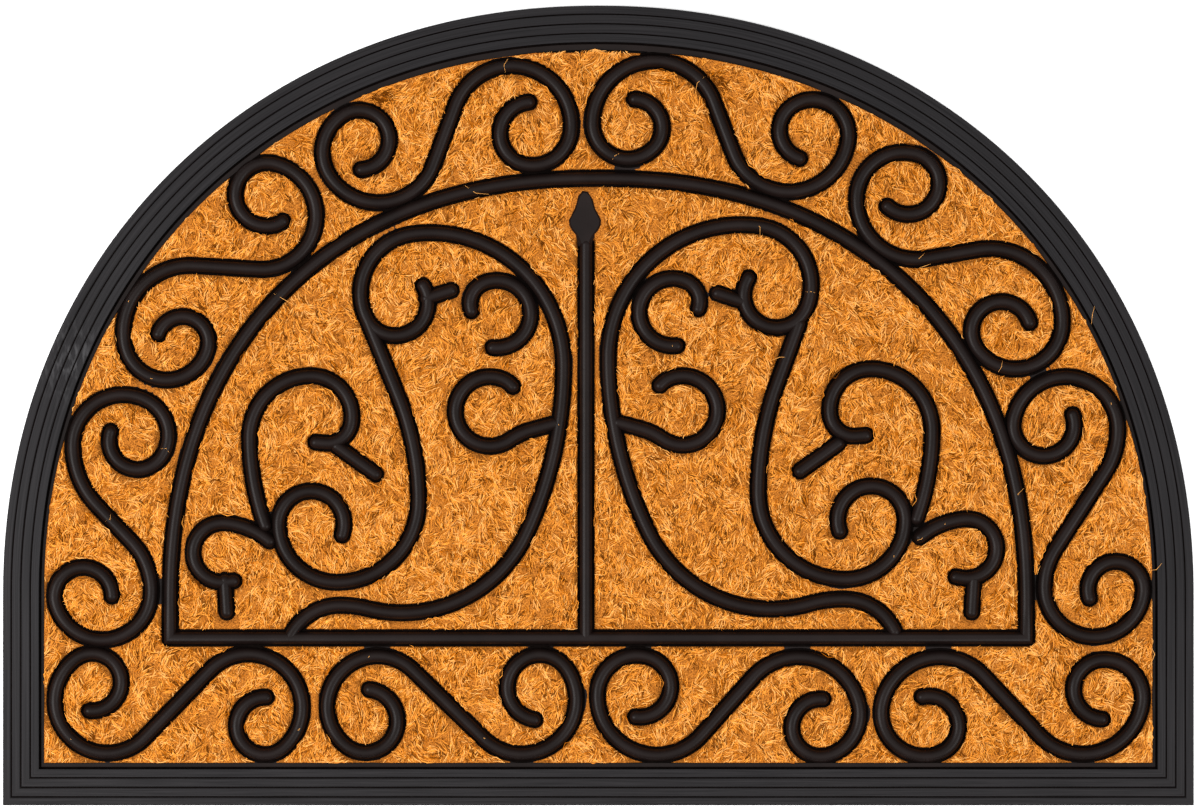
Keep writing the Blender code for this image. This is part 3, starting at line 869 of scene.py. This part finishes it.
def bump_node(nodes, links, height, strength, distance, shader):
    node = nodes.new("ShaderNodeBump")
    node.inputs["Strength"].default_value = strength
    node.inputs["Distance"].default_value = distance
    links.new(height, node.inputs["Height"])
    links.new(node.outputs["Normal"], shader.inputs["Normal"])


def scaled(nodes, links, vector, scale):
    node = nodes.new("ShaderNodeMapping")
    node.inputs["Scale"].default_value = scale
    links.new(vector, node.inputs["Vector"])
    return node.outputs["Vector"]


def scuff_mask(nodes, links):
    """Broken pale rubbing around one place on the left of the border."""
    place = nodes.new("ShaderNodeTexCoord").outputs["Object"]
    away = nodes.new("ShaderNodeVectorMath")
    away.operation = "DISTANCE"
    links.new(place, away.inputs[0])
    away.inputs[1].default_value = tuple(value * MM for value in SCUFF_PLACE)
    near = nodes.new("ShaderNodeMapRange")
    near.inputs["From Min"].default_value = SCUFF_REACH * MM
    near.inputs["From Max"].default_value = 0.0
    links.new(away.outputs["Value"], near.inputs["Value"])
    broken = noise_node(nodes, links, scaled(nodes, links, place, (420, 130, 1)), 1.0, 3)
    both = nodes.new("ShaderNodeMath")
    both.operation = "MULTIPLY"
    links.new(near.outputs["Result"], both.inputs[0])
    links.new(ramp_node(nodes, links, broken, ((0.48, (0, 0, 0)), (0.68, (1, 1, 1)))), both.inputs[1])
    return both.outputs["Value"]


def border_material():
    """Matte grey-black rubber with streaks along the border's length."""
    material, nodes, links, shader = new_material("border rubber")
    place = nodes.new("ShaderNodeUVMap")
    place.uv_map = "Along"
    streaks = noise_node(nodes, links, scaled(nodes, links, place.outputs["UV"], (14, 1500, 1)), 1.0, 3)
    colour = ramp_node(nodes, links, streaks, (
        (0.3, (0.009, 0.0082, 0.0088)),
        (0.7, (0.021, 0.0192, 0.0204)),
    ))
    scuffed = nodes.new("ShaderNodeMix")
    scuffed.data_type = "RGBA"
    links.new(scuff_mask(nodes, links), scuffed.inputs["Factor"])
    links.new(colour, scuffed.inputs["A"])
    scuffed.inputs["B"].default_value = SCUFF_COLOUR
    links.new(scuffed.outputs["Result"], shader.inputs["Base Color"])
    shader.inputs["Roughness"].default_value = 0.65
    shader.inputs["Specular IOR Level"].default_value = 0.12
    bump_node(nodes, links, streaks, 0.25, 0.0004, shader)
    return material


def bead_material():
    """Satin black rubber with a fine grain."""
    material, nodes, links, shader = new_material("bead rubber")
    place = nodes.new("ShaderNodeTexCoord").outputs["Object"]
    grain = noise_node(nodes, links, place, 900, 4)
    patch = noise_node(nodes, links, place, 60, 3)
    colour = ramp_node(nodes, links, patch, (
        (0.35, (0.0062, 0.0032, 0.0026)),
        (0.75, (0.0105, 0.0058, 0.005)),
    ))
    links.new(colour, shader.inputs["Base Color"])
    shader.inputs["Roughness"].default_value = 0.42
    shader.inputs["Specular IOR Level"].default_value = 0.13
    bump_node(nodes, links, grain, 0.2, 0.0002, shader)
    return material


def painted_shade_material():
    """Near-black painted shade for the grooves' floors and walls, the moat and the lands beside the beads.
    """
    material, nodes, links, shader = new_material("painted shade rubber")
    place = nodes.new("ShaderNodeTexCoord").outputs["Object"]
    grain = noise_node(nodes, links, place, 400, 3)
    colour = ramp_node(nodes, links, grain, (
        (0.3, (0.002, 0.0012, 0.001)),
        (0.7, (0.0042, 0.0026, 0.0022)),
    ))
    links.new(colour, shader.inputs["Base Color"])
    shader.inputs["Roughness"].default_value = 0.9
    shader.inputs["Specular IOR Level"].default_value = 0.02
    return material


def bed_material():
    """The deep part of the coir, coloured darker than the fibres as painted shade between them."""
    material, nodes, links, shader = new_material("coir bed")
    place = nodes.new("ShaderNodeTexCoord").outputs["Object"]
    fine = noise_node(nodes, links, place, 1400, 5)
    colour = ramp_node(nodes, links, fine, (
        (0.32, (0.14, 0.040, 0.004)),
        (0.5, (0.40, 0.125, 0.014)),
        (0.7, (0.66, 0.23, 0.03)),
    ))
    links.new(colour, shader.inputs["Base Color"])
    shader.inputs["Roughness"].default_value = 0.95
    shader.inputs["Specular IOR Level"].default_value = 0.1
    bump_node(nodes, links, fine, 0.8, 0.0006, shader)
    return material


def fibre_material(tone):
    """Matt coir of one tone, a little uneven."""
    material, nodes, links, shader = new_material("coir " + tone.name)
    place = nodes.new("ShaderNodeTexCoord").outputs["Object"]
    vary = noise_node(nodes, links, place, 700, 2)
    darker = tuple(value * 0.72 for value in tone.colour)
    lighter = tuple(min(1.0, value * 1.22) for value in tone.colour)
    colour = ramp_node(nodes, links, vary, ((0.3, darker), (0.7, lighter)))
    links.new(colour, shader.inputs["Base Color"])
    shader.inputs["Roughness"].default_value = 0.85
    shader.inputs["Specular IOR Level"].default_value = 0.03
    return material


def stage_floor():
    """A plain pale floor that fades into white."""
    bpy.ops.mesh.primitive_plane_add(size=FLOOR_SIZE, location=(0, 0, -FLOOR_DROP))
    floor = bpy.context.object
    floor.name = "floor"
    material, nodes, links, shader = new_material("pale floor")
    shader.inputs["Base Color"].default_value = (0.95, 0.95, 0.95, 1)
    shader.inputs["Roughness"].default_value = 0.9
    shader.inputs["Emission Color"].default_value = (1, 1, 1, 1)
    shader.inputs["Emission Strength"].default_value = 0.35
    floor.data.materials.append(material)


def sky():
    """A studio ceiling: bright overhead and dim towards the walls."""
    world = bpy.data.worlds.new("studio")
    world.use_nodes = True
    nodes = world.node_tree.nodes
    links = world.node_tree.links
    place = nodes.new("ShaderNodeTexCoord")
    parts = nodes.new("ShaderNodeSeparateXYZ")
    links.new(place.outputs["Generated"], parts.inputs["Vector"])
    ceiling = nodes.new("ShaderNodeMapRange")
    for name, value in CEILING.items():
        ceiling.inputs[name].default_value = value
    links.new(parts.outputs["Z"], ceiling.inputs["Value"])
    links.new(ceiling.outputs["Result"], nodes["Background"].inputs["Strength"])
    nodes["Background"].inputs["Color"].default_value = (1, 1, 1, 1)
    bpy.context.scene.world = world


def lights():
    """Two large soft lamps, the stronger on the left."""
    sky()
    for lamp in LAMPS:
        light = bpy.data.lights.new(lamp.name, "AREA")
        light.size = lamp.size
        light.energy = lamp.power
        item = bpy.data.objects.new(lamp.name, light)
        item.location = lamp.place
        item.rotation_euler = (-Vector(lamp.place)).to_track_quat("-Z", "Y").to_euler()
        bpy.context.scene.collection.objects.link(item)


def camera():
    """A long lens that looks straight down."""
    data = bpy.data.cameras.new("camera")
    data.lens = LENS
    data.sensor_width = SENSOR
    data.dof.use_dof = False
    item = bpy.data.objects.new("camera", data)
    item.location = (AIM[0] * MM, AIM[1] * MM, (VIEW_WIDTH * LENS / SENSOR + BORDER_HEIGHT) * MM)
    bpy.context.scene.collection.objects.link(item)
    bpy.context.scene.camera = item


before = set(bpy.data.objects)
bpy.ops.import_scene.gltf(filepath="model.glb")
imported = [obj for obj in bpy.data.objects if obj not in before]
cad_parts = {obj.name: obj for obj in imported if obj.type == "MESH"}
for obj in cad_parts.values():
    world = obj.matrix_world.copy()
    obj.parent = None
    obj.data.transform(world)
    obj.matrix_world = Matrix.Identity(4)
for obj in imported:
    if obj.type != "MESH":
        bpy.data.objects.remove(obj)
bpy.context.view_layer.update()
bpy.context.scene.view_settings.view_transform = "Standard"

bars = grille_runs()
patches = all_webs(bars)
plan = Plan(bars, patches)

black = bead_material()
# A near-black material that paints the shade in the grooves, the moat and the lands
shade_rubber = painted_shade_material()
border_piece = border(border_material(), shade_rubber)
rim_piece = rim(black, shade_rubber)
scroll_piece = scrollwork(bars, patches, black, shade_rubber)
bed_piece = coir_bed(plan, bed_material())
pile_pieces = coir_pile(plan)
stray_piece = strays(bars, fibre_material(TONES[4]))

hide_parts("rubber_moulding")
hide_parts("coir_panel")
for piece in (border_piece, rim_piece, scroll_piece):
    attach(piece, "root")
for piece in [bed_piece, stray_piece] + pile_pieces:
    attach(piece, "root")

bed_area = 2 * OPENING_HALF_WIDTH * OPENING_DROP * MM * MM
bed_area += ARCH_FILL * 2 * OPENING_HALF_WIDTH * OPENING_RISE * MM * MM

stage_floor()
lights()
camera()
